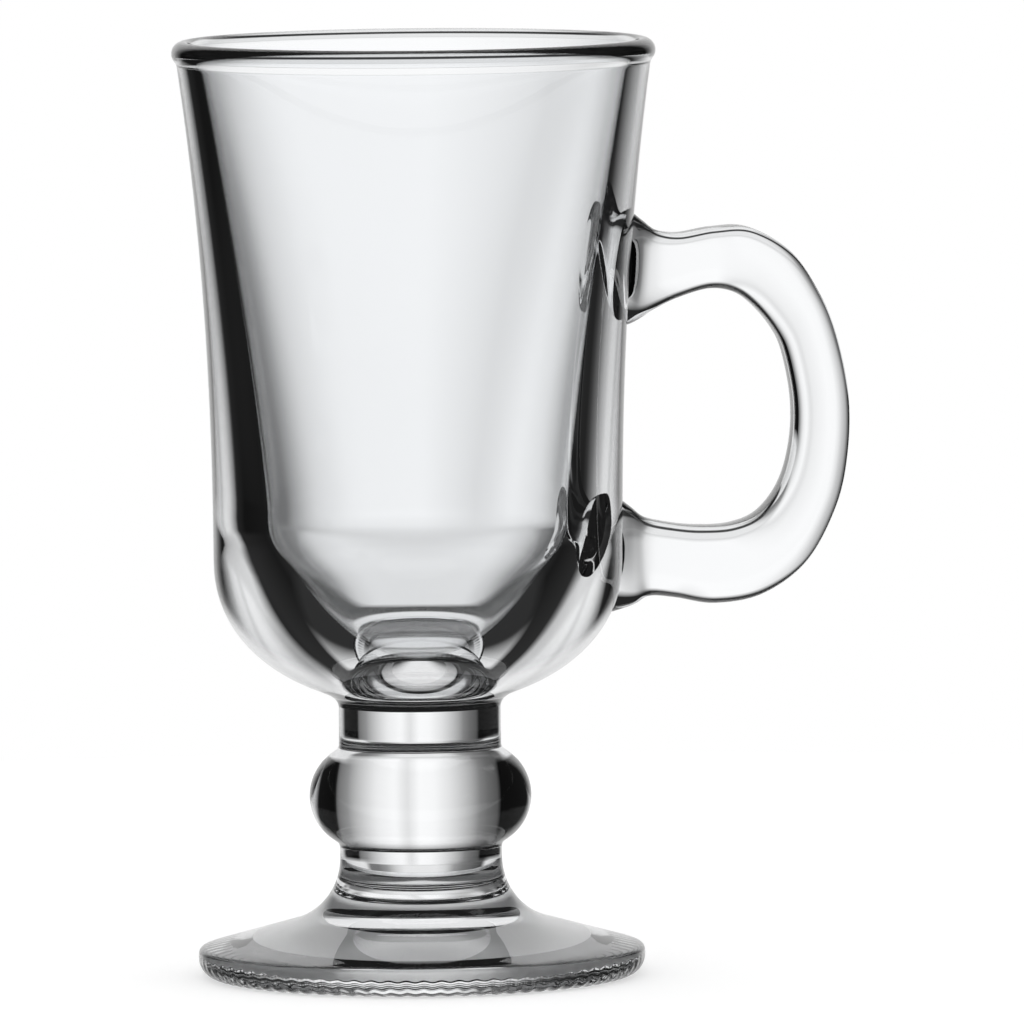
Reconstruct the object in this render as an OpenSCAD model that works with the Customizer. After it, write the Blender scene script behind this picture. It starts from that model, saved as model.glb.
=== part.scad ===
// Irish coffee glass mug, in millimetres.
// A footed mug of clear soda-lime glass: a flared bowl on a thick base, a knopped stem between
// two short collars, a sloping foot with a hollowed underside, and a D-shaped strap handle.
// The pieces are fused to each other while hot, face to face, with no glue and no fastener.
// The origin is on the mug's axis, at the plane it stands on. +Z is up, and the handle is at +X.

/* [Bowl] */
// Height of the bowl, from the face that is fused to the stem up to the lip
bowl_h = 102; // [85:1:125]
// Outer radius at the lip
rim_r = 37; // [34:0.5:42]
// Outer radius at the waist, where the wall turns into the belly
waist_r = 31.3; // [28:0.1:33.5]
// Height of the waist above the fused face
waist_h = 22.5; // [18:0.5:28]
// Wall just under the lip
wall_t = 3.3; // [2.6:0.1:4.2]
// Wall at the waist, where the glass is thickest
waist_wall_t = 8.7; // [7:0.1:10]
// Radius of the round bead that ends the wall
lip_bead_r = 1.9; // [1.7:0.05:2.3]
// How far the bead stands out past the wall
lip_step = 0.3; // [0.1:0.05:0.5]
// Solid glass between the fused face and the lowest point of the cavity
base_t = 8; // [6:0.5:12]
// Height of the rounded bottom of the cavity, up to where its straight wall starts
bottom_round_h = 22; // [18:0.5:26]

/* [Stem] */
// Radius of both collars, and of the faces that are fused
collar_r = 12.4; // [10:0.1:14]
// Height of the collar under the bowl
upper_collar_h = 6.6; // [4:0.1:10]
// Height of the knop
knop_h = 14.4; // [11:0.2:18]
// Largest radius of the knop
knop_r = 17; // [15:0.1:18.5]
// Height of the collar on the foot
lower_collar_h = 2.3; // [1.5:0.1:5]
// Width of the small blend from the upper collar into the belly
neck_blend = 2.6; // [1.5:0.1:4]

/* [Foot] */
// Outer radius of the foot
foot_r = 34.2; // [30:0.1:40]
// Height of the foot, up to the face that carries the stem
foot_h = 18.2; // [16:0.1:24]
// Height of the foot's upright edge
foot_edge_h = 4.7; // [3.5:0.1:6]
// Radius of the hollow sweep from the foot's slope up to the collar
foot_sweep_r = 10; // [7:0.5:12]
// Rounding along the top of the edge
foot_top_round = 0.9; // [0.4:0.1:1.5]
// Rounding along the bottom of the edge
foot_bottom_round = 3; // [1:0.1:3.5]
// Width of the flat ring that the mug stands on
bearing_w = 3.6; // [2:0.1:6]
// Depth of the hollow under the foot, at the axis
hollow_depth = 2.6; // [1:0.1:4]

/* [Handle] */
// How far the handle stands out from the bowl's waist
handle_out = 35.1; // [28:0.1:42]
// Height of the handle, from the underside of its lower arm to the top of its upper arm
handle_h = 58; // [48:0.2:64]
// Height of the handle's lowest point above the bowl's fused face
handle_seat = 15; // [12:0.5:20]
// Depth of the handle from front to back, away from its roots
handle_depth = 10; // [8:0.2:13]
// How deep the handle's ends start inside the wall before they are cut to it
handle_bite = 1.2; // [0.8:0.1:2]
// Roundness of the handle's outer side, where 2 is an ellipse and more is squarer
outer_side_power = 5; // [2:0.1:8]
// Roundness of the handle's inner side, which the fingers hold
inner_side_power = 4.5; // [2:0.1:8]
// Roundness of both sides at the handle's roots
root_power = 2.3; // [2:0.1:4]

/* [Hidden] */

// How sharply the wall flares: 1 is a straight cone, and more keeps the flare near the lip
wall_flare_power = 2.2;
// The same for the cavity, which is nearly a straight cone
cavity_flare_power = 1.3;
// Squareness of the belly's curve, where 2 is an ellipse
belly_power = 2.15;
// The same for the rounded bottom of the cavity
bottom_power = 2.1;

// Steps along the curves of the turned profiles
blend_steps = 5;
belly_steps = 14;
bottom_steps = 16;
wall_steps = 20;
arc_steps = 8;
// Sides round the handle, and rings between two rows of its table
handle_sides = 32;
handle_rings = 3;

// Heights of the fused faces above the standing plane
lower_collar_z = foot_h;
knop_z = lower_collar_z + lower_collar_h;
upper_collar_z = knop_z + knop_h;
bowl_z = upper_collar_z + upper_collar_h;

// Colour of the clear glass, and of the same glass where it is thick
clear_glass = [0.86, 0.91, 0.94, 0.55];
thick_glass = [0.74, 0.82, 0.86, 0.7];

$fn = 96;

// One row for each station along the handle, from its upper root round to its lower root:
// outer edge (out, up), inner edge (out, up), depth. Out is a share of handle_out from the waist,
// up is a share of handle_h from the lowest point, depth is a share of handle_depth.
// The first and the last row lie in the wall, so their share for out isn't used.
handle_shares = [
    [0.000, 1.051, 0.000, 0.729, 1.42],
    [0.097, 1.016, 0.061, 0.747, 1.18],
    [0.161, 0.988, 0.144, 0.778, 1.07],
    [0.262, 0.978, 0.248, 0.808, 1.01],
    [0.415, 0.992, 0.388, 0.831, 0.98],
    [0.574, 0.990, 0.501, 0.820, 0.97],
    [0.752, 0.925, 0.591, 0.781, 0.96],
    [0.875, 0.815, 0.673, 0.721, 0.95],
    [0.950, 0.700, 0.721, 0.657, 0.95],
    [0.999, 0.545, 0.758, 0.534, 0.95],
    [0.994, 0.393, 0.751, 0.420, 0.95],
    [0.941, 0.251, 0.701, 0.314, 0.95],
    [0.809, 0.106, 0.606, 0.239, 0.96],
    [0.612, 0.021, 0.483, 0.208, 0.98],
    [0.401, -0.001, 0.333, 0.204, 1.01],
    [0.227, 0.016, 0.205, 0.213, 1.04],
    [0.112, 0.021, 0.101, 0.229, 1.10],
    [0.037, -0.003, 0.034, 0.260, 1.22],
    [0.000, -0.031, 0.000, 0.292, 1.46]
];

// Points on a circle of radius r round (cx, cz), from angle a0 to angle a1
function arc(cx, cz, r, a0, a1, steps = arc_steps) =
    [for (i = [0:steps]) let (a = a0 + (a1 - a0) * i / steps) [cx + r * cos(a), cz + r * sin(a)]];

// Outer radius of the bowl at height h above its fused face, without the blend at the collar
function belly_radius(h) = waist_r * pow(1 - pow((waist_h - h) / waist_h, belly_power), 1 / belly_power);
function wall_radius(h) =
    waist_r + (rim_r - lip_step - waist_r) * pow((h - waist_h) / (bowl_h - waist_h), wall_flare_power);
function bowl_radius(h) = h < waist_h ? belly_radius(h) : wall_radius(h);

// Inner radius of the wall at height h
function cavity_radius(h) =
    let (at_waist = waist_r - waist_wall_t, at_lip = rim_r - lip_step - wall_t)
    at_waist + (at_lip - at_waist) * pow(max(0, h - waist_h) / (bowl_h - waist_h), cavity_flare_power);

// The belly from the blend out to the waist, with a the angle along its curve
belly_start_r = collar_r + neck_blend;
belly_start_a = acos(pow(belly_start_r / waist_r, belly_power / 2));
belly_curve = [for (i = [0:belly_steps]) let (a = belly_start_a * (1 - i / belly_steps))
    [waist_r * pow(cos(a), 2 / belly_power), waist_h * (1 - pow(sin(a), 2 / belly_power))]];

// The blend leaves the collar upright and meets the belly along the belly's own slope
belly_slope = (belly_curve[1][1] - belly_curve[0][1]) / (belly_curve[1][0] - belly_curve[0][0]);
blend_knee_h = max(0, belly_curve[0][1] - belly_slope * neck_blend);
neck_curve = [for (i = [0:blend_steps - 1]) let (t = i / blend_steps)
    [collar_r + t * t * neck_blend, 2 * t * (1 - t) * blend_knee_h + t * t * belly_curve[0][1]]];

// The wall runs from the waist up into the lip's bead
wall_top_h = bowl_h - lip_bead_r;
wall_curve = [for (i = [1:wall_steps]) let (h = waist_h + (wall_top_h - waist_h) * i / wall_steps)
    [wall_radius(h), h]];

// Everything inside the bowl's outer surface, for the bowl itself and for cutting the handle's ends
outer_curve = concat(neck_curve, belly_curve, wall_curve);

// The cavity: a rounded bottom, then the wall, nearly straight up to the lip
round_top_h = base_t + bottom_round_h;
round_top_r = cavity_radius(round_top_h);
cavity_bottom = [for (i = [0:bottom_steps]) let (a = 90 * i / bottom_steps)
    [round_top_r * pow(sin(a), 2 / bottom_power), base_t + bottom_round_h * (1 - pow(cos(a), 2 / bottom_power))]];
cavity_wall = [for (i = [1:wall_steps]) let (h = round_top_h + (wall_top_h - round_top_h) * i / wall_steps)
    [cavity_radius(h), h]];
cavity_curve = concat(cavity_bottom, cavity_wall);

// The foot's slope is the line from its edge that touches the hollow sweep
sweep_x = collar_r + foot_sweep_r;
edge_x = foot_r - foot_top_round;
sweep_distance = norm([sweep_x - edge_x, foot_h - foot_edge_h]);
slope_line_a = atan2(foot_h - foot_edge_h, sweep_x - edge_x) + asin(foot_sweep_r / sweep_distance);
touch_a = slope_line_a + 90;

// The hollow under the foot is part of a large sphere
hollow_r = foot_r - foot_bottom_round - bearing_w;
hollow_sphere_r = (hollow_r * hollow_r + hollow_depth * hollow_depth) / (2 * hollow_depth);

module bowl() {
    color(clear_glass)
    translate([0, 0, bowl_z])
    rotate_extrude()
    union() {
        polygon(concat([[0, 0]], outer_curve, [for (i = [len(cavity_curve) - 1:-1:0]) cavity_curve[i]]));
        translate([rim_r - lip_bead_r, bowl_h - lip_bead_r]) circle(r = lip_bead_r);
    }
}

// A short cylinder of glass that joins two larger pieces
module collar(z, h) {
    color(thick_glass)
    translate([0, 0, z])
    cylinder(r = collar_r, h = h);
}

module upper_collar() {
    collar(upper_collar_z, upper_collar_h);
}

module lower_collar() {
    collar(lower_collar_z, lower_collar_h);
}

// The bulge follows one arc through both collars' edges and the knop's largest radius
module knop() {
    swell = knop_r - collar_r;
    bulge_r = (knop_h * knop_h / 4 + swell * swell) / (2 * swell);
    color(thick_glass)
    translate([0, 0, knop_z])
    rotate_extrude()
    union() {
        square([collar_r, knop_h]);
        intersection() {
            translate([knop_r - bulge_r, knop_h / 2]) circle(r = bulge_r);
            square([knop_r, knop_h]);
        }
    }
}

module foot() {
    color(clear_glass)
    rotate_extrude()
    polygon(concat(
        [[0, foot_h], [collar_r, foot_h]],
        arc(sweep_x, foot_h, foot_sweep_r, 180, touch_a),
        arc(edge_x, foot_edge_h - foot_top_round, foot_top_round, touch_a - 180, 0),
        arc(foot_r - foot_bottom_round, foot_bottom_round, foot_bottom_round, 0, -90),
        [for (i = [0:arc_steps]) let (x = hollow_r * (1 - i / arc_steps))
            [x, hollow_depth - hollow_sphere_r + sqrt(hollow_sphere_r * hollow_sphere_r - x * x)]]
    ));
}

// The handle's table in millimetres: outer edge, inner edge and half depth of each station
function station(i) =
    let (
        row = handle_shares[i],
        in_wall = i == 0 || i == len(handle_shares) - 1,
        outer_h = handle_seat + row[1] * handle_h,
        inner_h = handle_seat + row[3] * handle_h,
        outer_x = in_wall ? bowl_radius(outer_h) - handle_bite : waist_r + row[0] * handle_out,
        inner_x = in_wall ? bowl_radius(inner_h) - handle_bite : waist_r + row[2] * handle_out
    )
    [outer_x, outer_h, inner_x, inner_h, row[4] * handle_depth / 2];

// A smooth curve through the stations, with t from 0 to 1 between station i and the next
function between_stations(i, t) =
    let (
        last = len(handle_shares) - 1,
        b = station(i),
        c = station(i + 1),
        a = i > 0 ? station(i - 1) : 2 * b - c,
        d = i + 1 < last ? station(i + 2) : 2 * c - b
    )
    b + t * (c - a) / 2 + t * t * (a - 2.5 * b + 2 * c - d / 2) + t * t * t * (1.5 * b - 1.5 * c + (d - a) / 2);

// One ring of points round the handle: a strap with round edges, rounder where it deepens to a root
function handle_ring(s) =
    [for (k = [0:handle_sides - 1])
        let (
            a = 360 * k / handle_sides,
            deepening = (2 * s[4] / handle_depth - 1) / (handle_shares[0][4] - 1),
            side_power = cos(a) > 0 ? outer_side_power : inner_side_power,
            power = side_power + (root_power - side_power) * min(1, max(0, deepening)),
            across = sign(cos(a)) * pow(abs(cos(a)), 2 / power),
            deep = sign(sin(a)) * pow(abs(sin(a)), 2 / power)
        )
        [
            (s[0] + s[2]) / 2 + across * (s[0] - s[2]) / 2,
            deep * s[4],
            (s[1] + s[3]) / 2 + across * (s[1] - s[3]) / 2
        ]];

module handle() {
    rows = len(handle_shares) - 1;
    rings = [for (i = [0:rows * handle_rings])
        let (row = min(floor(i / handle_rings), rows - 1))
        handle_ring(between_stations(row, i / handle_rings - row))];
    last = len(rings) - 1;
    points = [for (ring = rings) each ring];
    side_faces = [for (i = [0:last - 1], k = [0:handle_sides - 1])
        let (
            k2 = (k + 1) % handle_sides,
            a = i * handle_sides + k,
            b = i * handle_sides + k2,
            c = b + handle_sides,
            d = a + handle_sides
        )
        each [[a, b, c], [a, c, d]]];
    first_end = [for (k = [0:handle_sides - 1]) handle_sides - 1 - k];
    last_end = [for (k = [0:handle_sides - 1]) last * handle_sides + k];
    color(clear_glass)
    translate([0, 0, bowl_z])
    difference() {
        polyhedron(points, concat(side_faces, [first_end, last_end]));
        rotate_extrude() polygon(concat([[0, 0]], outer_curve, [[0, wall_top_h]]));
    }
}

bowl();
upper_collar();
knop();
lower_collar();
foot();
handle();
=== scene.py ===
"""An irish coffee glass mug: pressed soda-lime glass on a pale studio floor.

Lengths are in metres, in the frame of the CAD model."""

import math

import bmesh
import bpy
from mathutils import Matrix, Vector


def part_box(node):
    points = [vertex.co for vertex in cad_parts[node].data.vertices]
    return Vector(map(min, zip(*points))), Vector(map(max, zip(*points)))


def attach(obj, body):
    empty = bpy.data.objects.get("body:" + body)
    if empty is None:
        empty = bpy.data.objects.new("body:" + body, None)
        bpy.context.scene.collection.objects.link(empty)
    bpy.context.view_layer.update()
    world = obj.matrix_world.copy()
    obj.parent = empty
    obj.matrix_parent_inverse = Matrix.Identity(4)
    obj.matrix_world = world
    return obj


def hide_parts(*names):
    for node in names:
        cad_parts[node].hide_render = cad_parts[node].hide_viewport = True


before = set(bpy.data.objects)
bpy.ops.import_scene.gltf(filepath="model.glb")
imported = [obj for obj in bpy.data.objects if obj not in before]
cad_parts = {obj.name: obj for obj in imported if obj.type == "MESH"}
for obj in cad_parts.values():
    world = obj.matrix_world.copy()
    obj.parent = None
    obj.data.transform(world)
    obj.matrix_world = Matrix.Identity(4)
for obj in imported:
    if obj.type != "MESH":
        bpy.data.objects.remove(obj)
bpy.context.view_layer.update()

MM = 0.001

# Sizes that the CAD pieces give: where each one starts and ends, and how far out it reaches
BOWL_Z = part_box("bowl")[0].z
LIP_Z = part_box("bowl")[1].z
BOWL_H = LIP_Z - BOWL_Z
RIM_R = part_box("bowl")[1].y
COLLAR_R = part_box("upper_collar")[1].y
UPPER_COLLAR_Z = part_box("upper_collar")[0].z
KNOP_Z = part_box("knop")[0].z
KNOP_H = UPPER_COLLAR_Z - KNOP_Z
KNOP_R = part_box("knop")[1].y
LOWER_COLLAR_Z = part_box("lower_collar")[0].z
FOOT_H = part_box("foot")[1].z
FOOT_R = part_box("foot")[1].y

# Sizes of the bowl and the stem. The softnesses are how far a flame rounds the creases.
WAIST_R = 31.3 * MM
WAIST_H = 22.5 * MM
WALL_T = 3.3 * MM
WAIST_WALL_T = 8.7 * MM
LIP_BEAD_R = 1.9 * MM
LIP_STEP = 0.3 * MM
BASE_T = 8 * MM
BOTTOM_ROUND_H = 22 * MM
NECK_BLEND = 2.6 * MM
BOWL_SOFTNESS = 0.45 * MM
CREASE_SOFTNESS = 0.5 * MM
FOOT_SOFTNESS = 0.3 * MM
WALL_FLARE_POWER = 2.2
CAVITY_FLARE_POWER = 1.3
BELLY_POWER = 2.15
BOTTOM_POWER = 2.1

# Sizes of the foot
FOOT_EDGE_H = 4.7 * MM
FOOT_SWEEP_R = 10 * MM
FOOT_TOP_ROUND = 0.9 * MM
FOOT_BOTTOM_ROUND = 3.0 * MM
BEARING_W = 3.6 * MM
HOLLOW_DEPTH = 2.6 * MM

# Texture that the mould leaves on the foot: a stippled ring under it and ripples round its lower edge
STIPPLE_INNER_R = 12 * MM
STIPPLE_OUTER_R = 25 * MM
STIPPLE_GRAIN = 0.8 * MM
STIPPLE_DEPTH = 0.03 * MM
EDGE_RIPPLES = 80.0
RIPPLE_DEPTH = 0.15 * MM
RIPPLE_TOP = 4.2 * MM
RIPPLE_INNER_R = FOOT_R - FOOT_BOTTOM_ROUND - BEARING_W / 2

# Soda-lime glass, with the slow waves that the mould leaves in its surface: their length and their depth
GLASS_COLOUR = "#fcfdfe"
GLASS_IOR = 1.52
BOWL_WAVES = (14 * MM, 0.004 * MM)
STEM_WAVES = (9 * MM, 0.003 * MM)
FOOT_WAVES = (12 * MM, 0.002 * MM)
HANDLE_WAVES = (11 * MM, 0.006 * MM)

# Sizes of the handle
HANDLE_OUT = 35.1 * MM
HANDLE_H = 58 * MM
HANDLE_SEAT = 15 * MM
HANDLE_DEPTH = 10 * MM
HANDLE_BITE = 1.2 * MM
OUTER_SIDE_POWER = 5
INNER_SIDE_POWER = 4.5
ROOT_POWER = 2.3

# One row for each station along the handle, from its upper root round to its lower root:
# outer edge (out, up), inner edge (out, up), depth. Out is a share of HANDLE_OUT from the waist,
# up is a share of HANDLE_H from the lowest point, depth is a share of HANDLE_DEPTH.
HANDLE_SHARES = [
    (0.000, 1.051, 0.000, 0.729, 1.42),
    (0.097, 1.016, 0.061, 0.747, 1.18),
    (0.161, 0.988, 0.144, 0.778, 1.07),
    (0.262, 0.978, 0.248, 0.808, 1.01),
    (0.415, 0.992, 0.388, 0.831, 0.98),
    (0.574, 0.990, 0.501, 0.820, 0.97),
    (0.752, 0.925, 0.591, 0.781, 0.96),
    (0.875, 0.815, 0.673, 0.721, 0.95),
    (0.950, 0.700, 0.721, 0.657, 0.95),
    (0.999, 0.545, 0.758, 0.534, 0.95),
    (0.994, 0.393, 0.751, 0.420, 0.95),
    (0.941, 0.251, 0.701, 0.314, 0.95),
    (0.809, 0.106, 0.606, 0.239, 0.96),
    (0.612, 0.021, 0.483, 0.208, 0.98),
    (0.401, -0.001, 0.333, 0.204, 1.01),
    (0.227, 0.016, 0.205, 0.213, 1.04),
    (0.112, 0.021, 0.101, 0.229, 1.10),
    (0.037, -0.003, 0.034, 0.260, 1.22),
    (0.000, -0.031, 0.000, 0.292, 1.46),
]

# Fineness of the meshes. The foot's is finer, with 8 faces to a ripple.
TURNED_SEGMENTS = 256
FOOT_SEGMENTS = 640
BLEND_STEPS = 12
CURVE_STEPS = 60
LIP_STEPS = 48
KNOP_STEPS = 96
BOTTOM_STEPS = 90
WALL_STEPS = 120
PROFILE_FINE = 0.1 * MM
PROFILE_STEP = 1.5 * MM
PROFILE_TURN = 4.0
HANDLE_SIDES = 64
HANDLE_RINGS = 12
EDGE_GAP = 0.02 * MM
SAME_POINT = 0.0005 * MM
SAME_HEIGHT = 0.001 * MM

# The photograph's view
CAMERA_AZIMUTH = -7.5
CAMERA_ELEVATION = 4.53
CAMERA_DISTANCE = 2.4
CAMERA_LENS = 552.0
CAMERA_ROLL = -0.53
AIM_RIGHT = 14.4 * MM
AIM_UP = 71.0 * MM

# The floor and how often light may bounce
FLOOR_COLOUR = "#e8e8e8"
FLOOR_RADIUS = 0.36
FLOOR_SEGMENTS = 128
FLOOR_GLOW = 0.3
LIGHT_BOUNCES = 32


def linear(hex_colour):
    """A hex sRGB colour as linear RGBA."""
    parts = [int(hex_colour[i:i + 2], 16) / 255 for i in (1, 3, 5)]
    return tuple(c / 12.92 if c <= 0.04045 else ((c + 0.055) / 1.055) ** 2.4 for c in parts) + (1.0,)


def grey(level):
    """A grey light level as linear RGBA."""
    return (level, level, level, 1.0)


def add_node(tree, kind, inputs=None, **settings):
    """Adds a node, sets its properties, and gives each input a value or another node's output."""
    node = tree.nodes.new(kind)
    for name, value in settings.items():
        setattr(node, name, value)
    for name, value in (inputs or {}).items():
        if isinstance(value, bpy.types.NodeSocket):
            tree.links.new(value, node.inputs[name])
        else:
            node.inputs[name].default_value = value
    return node


# Turned profiles. Each is a list of (radius, height) from the axis at one end to the axis at the other.

def arc(cx, cz, r, a0, a1, steps=24):
    """Points on a circle from angle a0 to angle a1, in degrees."""
    angles = [math.radians(a0 + (a1 - a0) * i / steps) for i in range(steps + 1)]
    return [(cx + r * math.cos(a), cz + r * math.sin(a)) for a in angles]


def belly_radius(h):
    """The bowl's outside below its waist, at height h above its fused face."""
    return WAIST_R * (1 - ((WAIST_H - h) / WAIST_H) ** BELLY_POWER) ** (1 / BELLY_POWER)


def wall_radius(h):
    """The bowl's outside above its waist, where it flares."""
    rise = (h - WAIST_H) / (BOWL_H - WAIST_H)
    return WAIST_R + (RIM_R - LIP_STEP - WAIST_R) * rise ** WALL_FLARE_POWER


def bowl_radius(h):
    return belly_radius(h) if h < WAIST_H else wall_radius(h)


def cavity_radius(h):
    """The bowl's inside above its rounded bottom."""
    at_waist = WAIST_R - WAIST_WALL_T
    at_lip = RIM_R - LIP_STEP - WALL_T
    rise = max(0.0, h - WAIST_H) / (BOWL_H - WAIST_H)
    return at_waist + (at_lip - at_waist) * rise ** CAVITY_FLARE_POWER


def even_steps(points, step):
    """The same line with points at even distances along it."""
    lengths = [0.0]
    for a, b in zip(points, points[1:]):
        lengths.append(lengths[-1] + math.dist(a, b))
    count = max(2, round(lengths[-1] / step))
    result, i = [], 0
    for k in range(count + 1):
        want = lengths[-1] * k / count
        while i < len(points) - 2 and lengths[i + 1] < want:
            i += 1
        t = (want - lengths[i]) / max(1e-12, lengths[i + 1] - lengths[i])
        result.append(tuple(p + t * (q - p) for p, q in zip(points[i], points[i + 1])))
    return result


def sparse(points):
    """The same curve with a point wherever it has run PROFILE_STEP on or turned PROFILE_TURN degrees."""
    kept, run, turn = [points[0]], 0.0, 0.0
    for a, b, c in zip(points, points[1:], points[2:]):
        run += math.dist(a, b)
        one = math.atan2(b[1] - a[1], b[0] - a[0])
        two = math.atan2(c[1] - b[1], c[0] - b[0])
        turn += math.degrees((two - one + math.pi) % (2 * math.pi) - math.pi)
        if run >= PROFILE_STEP or abs(turn) >= PROFILE_TURN:
            kept.append(b)
            run, turn = 0.0, 0.0
    return kept + [points[-1]]


def fire_polish(points, softness, step=PROFILE_FINE):
    """Rounds every crease of a profile as a flame does. The ends stay where they are."""
    fine = even_steps(points, step)
    reach = math.ceil(3 * softness / step)
    weights = [math.exp(-0.5 * (k * step / softness) ** 2) for k in range(-reach, reach + 1)]
    last = len(fine) - 1
    soft = []
    for i in range(len(fine)):
        total = [0.0, 0.0]
        for k, w in zip(range(-reach, reach + 1), weights):
            j = i + k
            if j < 0:
                p = tuple(2 * e - q for e, q in zip(fine[0], fine[min(last, -j)]))
            elif j > last:
                p = tuple(2 * e - q for e, q in zip(fine[last], fine[max(0, 2 * last - j)]))
            else:
                p = fine[j]
            total[0] += w * p[0]
            total[1] += w * p[1]
        soft.append((total[0] / sum(weights), total[1] / sum(weights)))
    return sparse(soft)


def bowl_profile():
    """Collar edge, belly, wall, lip and cavity, above the bowl's fused face."""
    start_a = math.acos(((COLLAR_R + NECK_BLEND) / WAIST_R) ** (BELLY_POWER / 2))
    belly = []
    for i in range(CURVE_STEPS + 1):
        a = start_a * (1 - i / CURVE_STEPS)
        belly.append((WAIST_R * math.cos(a) ** (2 / BELLY_POWER),
                      WAIST_H * (1 - math.sin(a) ** (2 / BELLY_POWER))))
    slope = (belly[1][1] - belly[0][1]) / (belly[1][0] - belly[0][0])
    knee = max(0.0, belly[0][1] - slope * NECK_BLEND)
    blend = []
    for i in range(BLEND_STEPS):
        t = i / BLEND_STEPS
        blend.append((COLLAR_R + t * t * NECK_BLEND, 2 * t * (1 - t) * knee + t * t * belly[0][1]))
    bead_r, bead_h = RIM_R - LIP_BEAD_R, BOWL_H - LIP_BEAD_R
    wall = []
    for i in range(1, WALL_STEPS + 1):
        h = WAIST_H + (bead_h - WAIST_H) * i / WALL_STEPS
        wall.append((wall_radius(h), h))
    wall = [p for p in wall if math.dist(p, (bead_r, bead_h)) > LIP_BEAD_R]
    round_top = BASE_T + BOTTOM_ROUND_H
    cavity = []
    for i in range(BOTTOM_STEPS + 1):
        a = math.pi / 2 * i / BOTTOM_STEPS
        cavity.append((cavity_radius(round_top) * math.sin(a) ** (2 / BOTTOM_POWER),
                       BASE_T + BOTTOM_ROUND_H * (1 - math.cos(a) ** (2 / BOTTOM_POWER))))
    for i in range(1, WALL_STEPS + 1):
        h = round_top + (bead_h - round_top) * i / WALL_STEPS
        cavity.append((cavity_radius(h), h))
    cavity = [p for p in cavity if math.dist(p, (bead_r, bead_h)) > LIP_BEAD_R]
    out_a = math.degrees(math.atan2(wall[-1][1] - bead_h, wall[-1][0] - bead_r))
    in_a = math.degrees(math.atan2(cavity[-1][1] - bead_h, cavity[-1][0] - bead_r)) % 360
    lip = arc(bead_r, bead_h, LIP_BEAD_R, out_a + 2, in_a - 2, LIP_STEPS)
    return [(0.0, 0.0)] + fire_polish(blend + belly + wall + lip + cavity[::-1], BOWL_SOFTNESS)


def stem_outline():
    """Lower collar, knop and upper collar in one line, with the creases between them softened."""
    swell = KNOP_R - COLLAR_R
    bulge_r = (KNOP_H * KNOP_H / 4 + swell * swell) / (2 * swell)
    edge_a = math.degrees(math.asin(KNOP_H / 2 / bulge_r))
    side = arc(KNOP_R - bulge_r, KNOP_Z + KNOP_H / 2, bulge_r, -edge_a, edge_a, KNOP_STEPS)
    outline = [(COLLAR_R, LOWER_COLLAR_Z)] + side + [(COLLAR_R, BOWL_Z)]
    return fire_polish(outline, CREASE_SOFTNESS)


def stem_profile(low, high):
    """The part of the stem between two fused faces."""
    line = stem_outline()
    edges = []
    for z in (low, high):
        for (r0, z0), (r1, z1) in zip(line, line[1:]):
            if z0 - 1e-9 <= z <= z1 + 1e-9:
                t = (z - z0) / max(1e-12, z1 - z0)
                edges.append((r0 + t * (r1 - r0), z))
                break
    between = [p for p in line if low + EDGE_GAP < p[1] < high - EDGE_GAP]
    return [(0.0, low), edges[0]] + between + [edges[1], (0.0, high)]


def foot_profile():
    """Fused face, hollow sweep, slope, upright edge, standing ring and the hollow underneath."""
    sweep_x = COLLAR_R + FOOT_SWEEP_R
    edge_x = FOOT_R - FOOT_TOP_ROUND
    distance = math.dist((sweep_x, FOOT_H), (edge_x, FOOT_EDGE_H))
    line_a = math.atan2(FOOT_H - FOOT_EDGE_H, sweep_x - edge_x) + math.asin(FOOT_SWEEP_R / distance)
    touch_a = math.degrees(line_a) + 90
    hollow_r = FOOT_R - FOOT_BOTTOM_ROUND - BEARING_W
    sphere_r = (hollow_r ** 2 + HOLLOW_DEPTH ** 2) / (2 * HOLLOW_DEPTH)
    hollow = []
    for i in range(CURVE_STEPS + 1):
        x = hollow_r * (1 - i / CURVE_STEPS)
        hollow.append((x, HOLLOW_DEPTH - sphere_r + math.sqrt(sphere_r ** 2 - x * x)))
    outline = arc(sweep_x, FOOT_H, FOOT_SWEEP_R, 180, touch_a)
    outline += arc(edge_x, FOOT_EDGE_H - FOOT_TOP_ROUND, FOOT_TOP_ROUND, touch_a - 180, 0)
    outline += arc(FOOT_R - FOOT_BOTTOM_ROUND, FOOT_BOTTOM_ROUND, FOOT_BOTTOM_ROUND, 0, -90)
    return [(0.0, FOOT_H)] + fire_polish(outline + hollow, FOOT_SOFTNESS)


# Geometry

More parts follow.
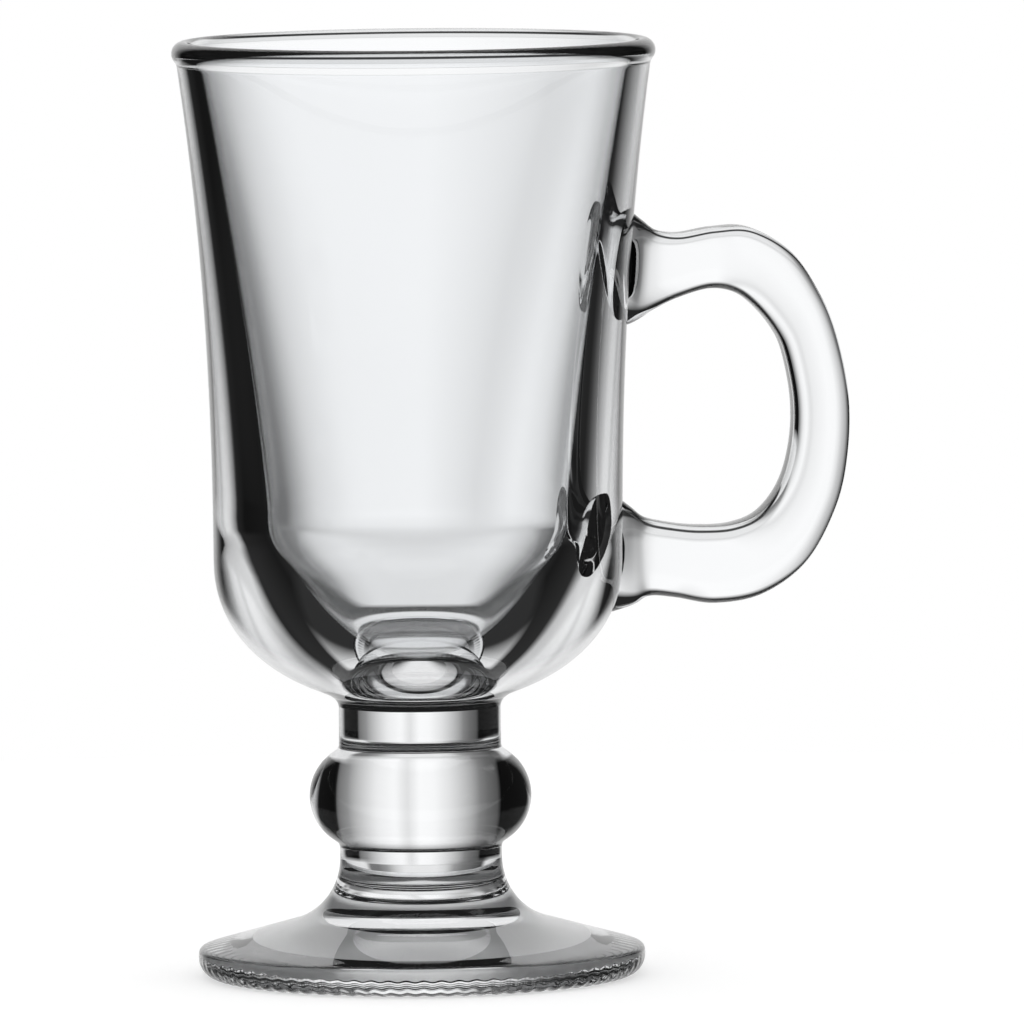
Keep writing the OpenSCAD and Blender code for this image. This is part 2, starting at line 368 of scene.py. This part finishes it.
def turning_tree():
    """Geometry nodes that turn a profile line in the XZ plane once round the Z axis.

    Low down and far out, ripples of the mould run round the edge: each one lifts and draws in the line."""
    tree = bpy.data.node_groups.new("turn_on_axis", "GeometryNodeTree")
    for name, kind in (("Profile", "Geometry"), ("Segments", "Int"), ("Ripples", "Float"),
                       ("Ripple Depth", "Float"), ("Ripple Top", "Float"), ("Ripple Inner", "Float"),
                       ("Glass", "Material")):
        tree.interface.new_socket(name, in_out="INPUT", socket_type="NodeSocket" + kind)
    tree.interface.new_socket("Turned", in_out="OUTPUT", socket_type="NodeSocketGeometry")
    given = add_node(tree, "NodeGroupInput").outputs

    # A sheet with a row for each point of the profile and a column for each step round the axis
    size = add_node(tree, "GeometryNodeAttributeDomainSize", {"Geometry": given["Profile"]})
    rows = size.outputs["Point Count"]
    columns = add_node(tree, "ShaderNodeMath", {0: given["Segments"], 1: 1}, operation="ADD")
    sheet = add_node(tree, "GeometryNodeMeshGrid", {"Vertices X": columns.outputs[0], "Vertices Y": rows})
    index = add_node(tree, "GeometryNodeInputIndex")
    row = add_node(tree, "ShaderNodeMath", {0: index.outputs[0], 1: rows}, operation="MODULO")
    column = add_node(tree, "ShaderNodeMath", {0: index.outputs[0], 1: rows}, operation="DIVIDE")
    whole = add_node(tree, "ShaderNodeMath", {0: column.outputs[0]}, operation="FLOOR")
    share = add_node(tree, "ShaderNodeMath", {0: whole.outputs[0], 1: given["Segments"]},
                     operation="DIVIDE")
    angle = add_node(tree, "ShaderNodeMath", {0: share.outputs[0], 1: 2 * math.pi}, operation="MULTIPLY")
    place = add_node(tree, "GeometryNodeInputPosition")
    point = add_node(tree, "GeometryNodeSampleIndex",
                     {"Geometry": given["Profile"], "Value": place.outputs[0], "Index": row.outputs[0]},
                     data_type="FLOAT_VECTOR")
    line = add_node(tree, "ShaderNodeSeparateXYZ", {"Vector": point.outputs["Value"]})

    # How deep the ripple is at each place
    turns = add_node(tree, "ShaderNodeMath", {0: angle.outputs[0], 1: given["Ripples"]},
                     operation="MULTIPLY")
    phase = add_node(tree, "ShaderNodeMath", {0: turns.outputs[0]}, operation="COSINE")
    wave = add_node(tree, "ShaderNodeMapRange",
                    {"Value": phase.outputs[0], "From Min": 1.0, "From Max": -1.0})
    low = add_node(tree, "ShaderNodeMapRange",
                   {"Value": line.outputs["Z"], "From Min": given["Ripple Top"], "From Max": 0.0})
    far = add_node(tree, "ShaderNodeMath", {0: line.outputs["X"], 1: given["Ripple Inner"]},
                   operation="GREATER_THAN")
    depth = given["Ripple Depth"]
    for factor in (wave, low, far):
        depth = add_node(tree, "ShaderNodeMath", {0: depth, 1: factor.outputs[0]},
                         operation="MULTIPLY").outputs[0]
    drawn_in = add_node(tree, "ShaderNodeMath", {0: line.outputs["X"], 1: depth}, operation="SUBTRACT")
    lifted = add_node(tree, "ShaderNodeMath", {0: line.outputs["Z"], 1: depth}, operation="ADD")
    rippled = add_node(tree, "ShaderNodeCombineXYZ", {"X": drawn_in.outputs[0], "Z": lifted.outputs[0]})

    turned = add_node(tree, "ShaderNodeVectorRotate",
                      {"Vector": rippled.outputs[0], "Angle": angle.outputs[0]}, rotation_type="Z_AXIS")
    moved = add_node(tree, "GeometryNodeSetPosition",
                     {"Geometry": sheet.outputs["Mesh"], "Position": turned.outputs[0]})
    closed = add_node(tree, "GeometryNodeMergeByDistance",
                      {"Geometry": moved.outputs[0], "Distance": SAME_POINT})
    real = add_node(tree, "GeometryNodeRealizeInstances", {"Geometry": closed.outputs[0]})
    dressed = add_node(tree, "GeometryNodeSetMaterial",
                       {"Geometry": real.outputs[0], "Material": given["Glass"]})
    add_node(tree, "NodeGroupOutput", {"Turned": dressed.outputs[0]})
    return tree


def bake(obj):
    """Swaps an object's mesh for the plain mesh that its modifiers make."""
    bpy.context.view_layer.update()
    result = bpy.data.meshes.new_from_object(
        obj.evaluated_get(bpy.context.evaluated_depsgraph_get()))
    obj.modifiers.clear()
    obj.data = result
    slots = list(result.materials)
    used = [m for m in slots if m]
    places = [used.index(m) if m else 0 for m in slots]
    indices = [places[f.material_index] for f in result.polygons]
    result.materials.clear()
    for material in used:
        result.materials.append(material)
    result.polygons.foreach_set("material_index", indices)
    return obj


def new_object(name, mesh):
    """An object in the scene, at the origin."""
    obj = bpy.data.objects.new(name, mesh)
    bpy.context.scene.collection.objects.link(obj)
    return obj


def turned_piece(name, profile, base_z, tree, inputs):
    """A closed turned body whose profile starts at height base_z, with the tree's inputs by name."""
    mesh = bpy.data.meshes.new(name)
    mesh.from_pydata([(r, 0.0, z + base_z) for r, z in profile],
                     [(i, i + 1) for i in range(len(profile) - 1)], [])
    obj = new_object(name, mesh)
    turning = obj.modifiers.new("turning", "NODES")
    turning.node_group = tree
    for item in tree.interface.items_tree:
        if item.in_out == "INPUT" and item.name in inputs:
            turning[item.identifier] = inputs[item.name]
    bake(obj)
    outwards(obj.data)
    return obj


def outwards(mesh):
    """Points every face outwards."""
    work = bmesh.new()
    work.from_mesh(mesh)
    bmesh.ops.recalc_face_normals(work, faces=work.faces)
    work.to_mesh(mesh)
    work.free()


def handle_stations():
    """The handle's table in metres: outer edge, inner edge and half depth of each station."""
    rows = []
    for i, (outer_out, outer_up, inner_out, inner_up, deep) in enumerate(HANDLE_SHARES):
        outer_h = HANDLE_SEAT + outer_up * HANDLE_H
        inner_h = HANDLE_SEAT + inner_up * HANDLE_H
        outer_x = WAIST_R + outer_out * HANDLE_OUT
        inner_x = WAIST_R + inner_out * HANDLE_OUT
        if i in (0, len(HANDLE_SHARES) - 1):
            outer_x = bowl_radius(outer_h) - HANDLE_BITE
            inner_x = bowl_radius(inner_h) - HANDLE_BITE
        rows.append(Vector((outer_x, outer_h, inner_x, inner_h, deep * HANDLE_DEPTH / 2)))
    return rows


def along(rows, i, t):
    """A smooth curve through the rows, with t from 0 to 1 between row i and the next."""
    b, c = rows[i], rows[i + 1]
    a = rows[i - 1] if i > 0 else 2 * b - c
    d = rows[i + 2] if i + 2 < len(rows) else 2 * c - b
    bend = t * t * (a - 2.5 * b + 2 * c - 0.5 * d)
    return b + t * (c - a) / 2 + bend + t ** 3 * (1.5 * b - 1.5 * c + 0.5 * (d - a))


def handle_blank(glass):
    """The handle before it is joined: a closed sweep whose ends lie in the bowl's wall."""
    rows = handle_stations()
    work = bmesh.new()
    rings = []
    for i in range((len(rows) - 1) * HANDLE_RINGS + 1):
        row = min(i // HANDLE_RINGS, len(rows) - 2)
        s = along(rows, row, i / HANDLE_RINGS - row)
        deepening = (s[4] * 2 / HANDLE_DEPTH - 1) / (HANDLE_SHARES[0][4] - 1)
        root = min(1.0, max(0.0, deepening))
        ring = []
        for k in range(HANDLE_SIDES):
            a = 2 * math.pi * k / HANDLE_SIDES
            side_power = OUTER_SIDE_POWER if math.cos(a) > 0 else INNER_SIDE_POWER
            power = side_power + (ROOT_POWER - side_power) * root
            across = math.copysign(abs(math.cos(a)) ** (2 / power), math.cos(a))
            deep = math.copysign(abs(math.sin(a)) ** (2 / power), math.sin(a))
            ring.append(work.verts.new((
                (s[0] + s[2]) / 2 + across * (s[0] - s[2]) / 2,
                deep * s[4],
                BOWL_Z + (s[1] + s[3]) / 2 + across * (s[1] - s[3]) / 2)))
        rings.append(ring)
    for one, two in zip(rings, rings[1:]):
        for k in range(HANDLE_SIDES):
            k2 = (k + 1) % HANDLE_SIDES
            work.faces.new((one[k], one[k2], two[k2], two[k]))
    work.faces.new(rings[0][::-1])
    work.faces.new(rings[-1])
    bmesh.ops.recalc_face_normals(work, faces=work.faces)
    mesh = bpy.data.meshes.new("handle_blank")
    work.to_mesh(mesh)
    work.free()
    mesh.materials.append(glass)
    return new_object("handle_blank", mesh)


def fuse_handle(bowl, blank, seam):
    """Joins the handle to the bowl, then parts them again along the line where they meet.

    Both are closed there by one skin of faces, which lets light straight through, so the glass
    is whole to the eye and the two are still separate pieces."""
    join = bowl.modifiers.new("join", "BOOLEAN")
    join.operation = "UNION"
    join.solver = "EXACT"
    join.object = blank
    join.material_mode = "TRANSFER"
    bake(bowl)
    whole = bmesh.new()
    whole.from_mesh(bowl.data)
    bmesh.ops.remove_doubles(whole, verts=whole.verts, dist=SAME_POINT)
    materials = list(bowl.data.materials)
    handle_index = next(i for i, m in enumerate(materials) if m == blank.data.materials[0])
    parts = []
    for keep_handle in (False, True):
        part = whole.copy()
        away = [f for f in part.faces if (f.material_index == handle_index) != keep_handle]
        bmesh.ops.delete(part, geom=away, context="FACES")
        parts.append(part)
    whole.free()
    made = []
    for part, name, glass in zip(parts, ("bowl_glass", "handle_glass"),
                                 (bowl.data.materials[0], blank.data.materials[0])):
        for f in part.faces:
            f.material_index = 0
        for loop in open_loops(part):
            centre = sum((v.co for v in loop), Vector()) / len(loop)
            centre.x = bowl_radius(centre.z - BOWL_Z)
            hub = part.verts.new(centre)
            for a, b in zip(loop, loop[1:] + loop[:1]):
                face = part.faces.new((a, b, hub))
                face.material_index = 1
        bmesh.ops.recalc_face_normals(part, faces=part.faces)
        mesh = bpy.data.meshes.new(name)
        part.to_mesh(mesh)
        part.free()
        mesh.materials.append(glass)
        mesh.materials.append(seam)
        made.append(mesh)
    bpy.data.objects.remove(blank)
    bowl.data = made[0]
    return bowl, new_object("handle", made[1])


def open_loops(part):
    """The closed chains of vertices along a mesh's open edges."""
    edges = [e for e in part.edges if len(e.link_faces) == 1]
    todo, loops = set(edges), []
    while todo:
        edge = todo.pop()
        loop = [edge.verts[0], edge.verts[1]]
        while True:
            step = next((e for e in loop[-1].link_edges if e in todo), None)
            if step is None:
                break
            todo.remove(step)
            loop.append(step.other_vert(loop[-1]))
        if loop[0] is loop[-1]:
            loop.pop()
        loops.append(loop)
    return loops


def mark_fused_faces(obj, seam, heights):
    """Gives the flat round faces at these heights the fused-joint skin."""
    mesh = obj.data
    if seam not in list(mesh.materials):
        mesh.materials.append(seam)
    index = list(mesh.materials).index(seam)
    for face in mesh.polygons:
        flat = abs(face.normal.z) > 0.99 and Vector(face.center[:2]).length < COLLAR_R
        if flat and any(abs(face.center.z - z) < SAME_HEIGHT for z in heights):
            face.material_index = index


def stipple_underside(foot, stippled):
    """Gives the hollow under the foot the mould's stippled face, between its plain middle and its edge."""
    mesh = foot.data
    mesh.materials.append(stippled)
    for face in mesh.polygons:
        if face.normal.z < -0.5 and STIPPLE_INNER_R < Vector(face.center[:2]).length < STIPPLE_OUTER_R:
            face.material_index = len(mesh.materials) - 1


def finish_piece(obj, node):
    """Smooth shading with a clean border at the fused faces, then its place in the frame."""
    mesh = obj.data
    mesh.shade_smooth()
    work = bmesh.new()
    work.from_mesh(mesh)
    for edge in work.edges:
        sides = {f.material_index for f in edge.link_faces}
        edge.smooth = len(sides) == 1
    work.to_mesh(mesh)
    work.free()
    obj.name = node + "_glass"
    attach(obj, "root")
    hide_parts(node)


# Materials

def empty_material(name):
    """A material with no nodes yet."""
    material = bpy.data.materials.new(name)
    material.use_nodes = True
    material.node_tree.nodes.clear()
    return material


def soda_lime_glass(name, waves):
    """Pressed soda-lime glass: clear with a cool cast and very smooth, with the slow waves of the mould,
    which bend what shows through it a little."""
    material = empty_material(name)
    tree = material.node_tree
    length, depth = waves
    place = add_node(tree, "ShaderNodeTexCoord")
    swell = add_node(tree, "ShaderNodeTexNoise", {"Vector": place.outputs["Object"], "Scale": 1 / length,
                                                  "Detail": 1.0, "Roughness": 0.4})
    bump = add_node(tree, "ShaderNodeBump", {"Height": swell.outputs[0], "Strength": 1.0, "Distance": depth})
    glass = add_node(tree, "ShaderNodeBsdfPrincipled",
                     {"Normal": bump.outputs[0], "Base Color": linear(GLASS_COLOUR), "Roughness": 0.0,
                      "IOR": GLASS_IOR, "Transmission Weight": 1.0})
    add_node(tree, "ShaderNodeOutputMaterial", {"Surface": glass.outputs[0]})
    return material


def stippled_glass():
    """The same glass under the foot, as a sand-blasted mould leaves it: a stipple that scatters the light,
    so that it looks pale grey through the clear top. Real grains of 0.2 mm are too fine to show, so they
    are drawn four times as coarse."""
    material = empty_material("soda_lime_glass_stippled_underside")
    tree = material.node_tree
    place = add_node(tree, "ShaderNodeTexCoord")
    grain = add_node(tree, "ShaderNodeTexNoise",
                     {"Vector": place.outputs["Object"], "Scale": 1 / STIPPLE_GRAIN, "Detail": 2.0,
                      "Roughness": 0.6})
    bump = add_node(tree, "ShaderNodeBump",
                    {"Height": grain.outputs[0], "Strength": 1.0, "Distance": STIPPLE_DEPTH})
    glass = add_node(tree, "ShaderNodeBsdfPrincipled",
                     {"Normal": bump.outputs[0], "Base Color": linear(GLASS_COLOUR), "Roughness": 0.3,
                      "IOR": GLASS_IOR, "Transmission Weight": 0.8})
    add_node(tree, "ShaderNodeOutputMaterial", {"Surface": glass.outputs[0]})
    return material


def fused_joint():
    """The inside of a hot-fused joint, where two gathers became one glass: nothing shows there."""
    material = empty_material("fused_joint_inside_the_glass")
    tree = material.node_tree
    clear = add_node(tree, "ShaderNodeBsdfTransparent")
    add_node(tree, "ShaderNodeOutputMaterial", {"Surface": clear.outputs[0]})
    return material


def floor_paint():
    """Matt white studio paint. To the eye it glows a little, so that it ends as white as the backdrop and
    keeps a faint shadow."""
    material = empty_material("matt_white_studio_floor")
    tree = material.node_tree
    matt = add_node(tree, "ShaderNodeBsdfDiffuse", {"Color": linear(FLOOR_COLOUR), "Roughness": 0.0})
    seen = add_node(tree, "ShaderNodeLightPath")
    lift = add_node(tree, "ShaderNodeMath", {0: seen.outputs["Is Camera Ray"], 1: FLOOR_GLOW},
                    operation="MULTIPLY")
    glow = add_node(tree, "ShaderNodeEmission", {"Strength": lift.outputs[0], "Color": grey(1)})
    both = add_node(tree, "ShaderNodeAddShader", {0: matt.outputs[0], 1: glow.outputs[0]})
    add_node(tree, "ShaderNodeOutputMaterial", {"Surface": both.outputs[0]})
    return material


# Stage: floor, studio light and camera

# The studio's cards and flags, in bands from the ground up. A band is: the height in degrees where it
# starts to show, where it shows fully, and its light levels by degrees to the right of straight behind
# the mug. A level of 1 is white.

# What shows straight through the glass: pale ground with a dark far edge, then a white card behind the
# mug, which fades towards its sides and has a soft upright fold right of its middle. A narrow dark flag
# stands at each side of the card, with a wide black one over it, and above the card it is dark.
SEEN_THROUGH = [
    (-90, -89, [(-180, 0.85), (180, 0.85)]),
    (-54, -50, [(-180, 0.7), (-82, 0.7), (-60, 0.5), (-26, 0.5), (-14, 0.9), (14, 0.9), (26, 0.5),
                (60, 0.5), (82, 0.7), (180, 0.7)]),
    (-41, -37, [(-180, 0.35), (-82, 0.35), (-68, 0.02), (-28, 0.02), (-20, 0.04), (20, 0.04), (28, 0.02),
                (68, 0.02), (82, 0.35), (180, 0.35)]),
    (-29, -26, [(-180, 0.85), (-155, 0.85), (-142, 0.6), (-129, 0.85), (-46, 0.85), (-40, 0.06),
                (-32, 0.12), (-24, 0.2), (-18, 0.34), (-13, 0.72), (-8, 0.88), (8, 0.88), (13, 0.66),
                (18, 0.34), (24, 0.2), (30, 0.2), (34, 0.85), (98, 0.85), (105, 0.6), (112, 0.85),
                (180, 0.85)]),
    (-16, -14.6, [(-180, 0.85), (-46, 0.85), (-40, 0.06), (-32, 0.16), (-22, 0.28), (-15, 0.46),
                  (-8, 0.76), (8, 0.78), (18, 0.6), (25, 0.45), (30, 0.45), (34, 0.85), (180, 0.85)]),
    (-14.6, -11.5, [(-180, 0.85), (-48, 0.85), (-40, 0.12), (-28, 0.14), (-22, 0.22), (-16, 0.5),
                    (-11, 0.82), (-5, 1.04), (0, 1.06), (4.5, 0.84), (9, 1.05), (16, 0.93), (22, 0.75),
                    (28, 0.6), (31, 0.6), (35, 0.9), (180, 0.85)]),
    (-10.5, -7.5, [(-180, 0.9), (-84, 0.9), (-72, 0.005), (-36, 0.003), (-34.5, 0.09), (-28, 0.16),
                   (-24, 0.24), (-20, 0.44), (-16, 0.62), (-11, 0.84), (-5, 1.04), (0, 1.06),
                   (4.5, 0.82), (9, 1.05), (16, 0.93), (22, 0.68), (27, 0.48), (31, 0.3), (37.5, 0.18),
                   (39.5, 0.003), (60, 0.005), (70, 0.9), (180, 0.9)]),
    (13, 21, [(-180, 0.05), (-70, 0.05), (-40, 0.02), (40, 0.02), (70, 0.05), (180, 0.05)]),
]
# What shows by one mirroring inside the glass: the same card and the pale ground before it, with a dark
# room round both, and a pale wall over them
MIRRORED = [
    (-90, -89, [(-180, 0.05), (-60, 0.03), (-44, 0.03), (-32, 0.6), (-22, 0.85), (22, 0.85), (32, 0.6),
                (44, 0.03), (60, 0.03), (180, 0.05)]),
    (-41, -37, [(-180, 0.2), (-110, 0.2), (-90, 0.05), (-56, 0.01), (-24, 0.03), (24, 0.03),
                (56, 0.01), (90, 0.05), (110, 0.2), (180, 0.2)]),
    (-28, -23, [(-180, 0.2), (-110, 0.2), (-90, 0.05), (-56, 0.01), (-25, 0.02), (-20, 0.4),
                (-14, 0.82), (14, 0.82), (24, 0.6), (32, 0.15), (44, 0.02), (90, 0.05), (110, 0.2),
                (180, 0.2)]),
    (-18, -14, [(-180, 0.2), (-110, 0.2), (-90, 0.03), (-76, 0.03), (-67, 0.01), (-34, 0.005),
                (-23, 0.02), (-20, 0.26), (-16, 0.5), (-11, 0.82), (-5, 1.04), (0, 1.06), (4.5, 0.84),
                (9, 1.05), (16, 0.93), (22, 0.6), (28, 0.38), (34, 0.18), (40, 0.02), (48, 0.005),
                (64, 0.01), (76, 0.03), (90, 0.03), (110, 0.2), (180, 0.2)]),
    (4, 9, [(-180, 0.7), (-90, 0.8), (-60, 0.9), (60, 0.9), (90, 0.8), (180, 0.7)]),
    (44, 52, [(-180, 0.7), (180, 0.7)]),
]
# What shows by mirroring on the outside of the glass: the dark room, a tall pale card straight behind
# the mug, and a dim ceiling
REFLECTED = [
    (-90, -89, [(-180, 0.02), (-34, 0.02), (-20, 0.8), (20, 0.8), (34, 0.02), (180, 0.02)]),
    (50, 75, [(-180, 0.3), (180, 0.3)]),
]
# What is left of the room's light after two mirrorings in the glass
MIRRORED_TWICE = 0.01
# The plain soft light that falls on matt faces, through the glass and straight
SOFT_LIGHT_THROUGH_GLASS = 0.85
SOFT_LIGHT = 1.0
# The backdrop as the camera sees it
BACKDROP = 1.0


def stacked_bands(tree, aside, up, bands):
    """The light of all the bands, each over the one before, from two angles in radians."""
    light = None
    for start, full, stops in bands:
        way = add_node(tree, "ShaderNodeMapRange",
                       {"Value": aside, "From Min": math.radians(-180), "From Max": math.radians(180)})
        levels = add_node(tree, "ShaderNodeValToRGB", {"Fac": way.outputs[0]})
        ramp = levels.color_ramp
        ramp.elements.remove(ramp.elements[-1])
        ramp.elements[0].position = (stops[0][0] + 180) / 360
        ramp.elements[0].color = grey(stops[0][1])
        for angle, level in stops[1:]:
            ramp.elements.new((angle + 180) / 360).color = grey(level)
        band = levels.outputs[0]
        if light:
            rise = add_node(tree, "ShaderNodeMapRange",
                            {"Value": up, "From Min": math.radians(start), "From Max": math.radians(full)})
            band = add_node(tree, "ShaderNodeMix", {0: rise.outputs[0], 6: light, 7: band},
                            data_type="RGBA").outputs[2]
        light = band
    return light


def studio_world():
    """The studio's light. What a ray shows depends on how it came: straight through the glass, by
    mirroring, from a matt face, or straight from the camera."""
    world = bpy.data.worlds.new("studio")
    bpy.context.scene.world = world
    world.use_nodes = True
    tree = world.node_tree
    tree.nodes.clear()
    way = add_node(tree, "ShaderNodeTexCoord")
    turned = add_node(tree, "ShaderNodeVectorRotate",
                      {"Vector": way.outputs["Generated"], "Angle": -math.radians(CAMERA_AZIMUTH)},
                      rotation_type="Z_AXIS")
    parts = add_node(tree, "ShaderNodeSeparateXYZ", {"Vector": turned.outputs[0]})
    aside = add_node(tree, "ShaderNodeMath", {0: parts.outputs["X"], 1: parts.outputs["Y"]},
                     operation="ARCTAN2").outputs[0]
    up = add_node(tree, "ShaderNodeMath", {0: parts.outputs["Z"]}, operation="ARCSINE").outputs[0]
    seen = add_node(tree, "ShaderNodeLightPath")
    light = stacked_bands(tree, aside, up, REFLECTED)
    for path, comparison, count, shown in (
            ("Transmission Depth", "GREATER_THAN", 0.5, stacked_bands(tree, aside, up, MIRRORED)),
            ("Glossy Depth", "LESS_THAN", 0.5, stacked_bands(tree, aside, up, SEEN_THROUGH)),
            ("Glossy Depth", "GREATER_THAN", 1.5, grey(MIRRORED_TWICE)),
            ("Diffuse Depth", "GREATER_THAN", 0.5, grey(SOFT_LIGHT_THROUGH_GLASS)),
            ("Is Diffuse Ray", "GREATER_THAN", 0.5, grey(SOFT_LIGHT)),
            ("Is Camera Ray", "GREATER_THAN", 0.5, grey(BACKDROP))):
        applies = add_node(tree, "ShaderNodeMath", {0: seen.outputs[path], 1: count},
                           operation=comparison)
        light = add_node(tree, "ShaderNodeMix", {0: applies.outputs[0], 6: light, 7: shown},
                         data_type="RGBA").outputs[2]
    lamp = add_node(tree, "ShaderNodeBackground", {"Color": light, "Strength": 1.0})
    add_node(tree, "ShaderNodeOutputWorld", {"Surface": lamp.outputs[0]})


def studio_floor():
    """A round of pale floor. What shows in the glass is the studio's light, so the floor is hidden
    from it."""
    work = bmesh.new()
    bmesh.ops.create_circle(work, cap_ends=True, segments=FLOOR_SEGMENTS,
                            radius=FLOOR_RADIUS)
    mesh = bpy.data.meshes.new("studio_floor")
    work.to_mesh(mesh)
    work.free()
    mesh.materials.append(floor_paint())
    floor = new_object("studio_floor", mesh)
    floor.visible_transmission = floor.visible_glossy = False


def studio_camera():
    """The camera at the photograph's angle, with a long lens."""
    data = bpy.data.cameras.new("camera")
    data.lens = CAMERA_LENS
    data.clip_start = 0.1
    data.clip_end = 20
    camera = new_object("camera", data)
    a, e = math.radians(CAMERA_AZIMUTH), math.radians(CAMERA_ELEVATION)
    back = Vector((math.sin(a) * math.cos(e), -math.cos(a) * math.cos(e), math.sin(e)))
    right = Vector((math.cos(a), math.sin(a), 0))
    aim = right * AIM_RIGHT + Vector((0, 0, AIM_UP))
    turn = (-back).to_track_quat("-Z", "Y").to_matrix()
    turn = turn @ Matrix.Rotation(math.radians(CAMERA_ROLL), 3, "Z")
    camera.matrix_world = Matrix.Translation(aim + back * CAMERA_DISTANCE) @ turn.to_4x4()
    bpy.context.scene.camera = camera


def make_mug():
    """The six pieces of glass: the bowl, the three of the stem, the foot and the handle."""
    seam = fused_joint()
    bowl_glass = soda_lime_glass("soda_lime_glass_pressed_bowl", BOWL_WAVES)
    stem_glass = soda_lime_glass("soda_lime_glass_solid_stem", STEM_WAVES)
    foot_glass = soda_lime_glass("soda_lime_glass_pressed_foot", FOOT_WAVES)
    handle_glass = soda_lime_glass("soda_lime_glass_pressed_handle", HANDLE_WAVES)

    tree = turning_tree()
    bowl = turned_piece("bowl_turned", bowl_profile(), BOWL_Z, tree,
                        {"Segments": TURNED_SEGMENTS, "Glass": bowl_glass})
    stem = []
    for node, low, high in (("upper_collar", UPPER_COLLAR_Z, BOWL_Z), ("knop", KNOP_Z, UPPER_COLLAR_Z),
                            ("lower_collar", LOWER_COLLAR_Z, KNOP_Z)):
        piece = turned_piece(node + "_turned", stem_profile(low, high), 0.0, tree,
                             {"Segments": TURNED_SEGMENTS, "Glass": stem_glass})
        stem.append((piece, node, [low, high]))
    foot = turned_piece("foot_turned", foot_profile(), 0.0, tree,
                        {"Segments": FOOT_SEGMENTS, "Glass": foot_glass, "Ripples": EDGE_RIPPLES,
                         "Ripple Depth": RIPPLE_DEPTH, "Ripple Top": RIPPLE_TOP,
                         "Ripple Inner": RIPPLE_INNER_R})
    bowl, handle = fuse_handle(bowl, handle_blank(handle_glass), seam)

    pieces = [(bowl, "bowl", [BOWL_Z])] + stem + [(foot, "foot", [FOOT_H]), (handle, "handle", [])]
    for piece, node, fused_heights in pieces:
        if fused_heights:
            mark_fused_faces(piece, seam, fused_heights)
    stipple_underside(foot, stippled_glass())
    for piece, node, fused_heights in pieces:
        finish_piece(piece, node)


scene = bpy.context.scene
scene.view_settings.view_transform = "Standard"
for limit in ("max_bounces", "transmission_bounces", "glossy_bounces", "transparent_max_bounces"):
    setattr(scene.cycles, limit, LIGHT_BOUNCES)

make_mug()
studio_floor()
studio_world()
studio_camera()
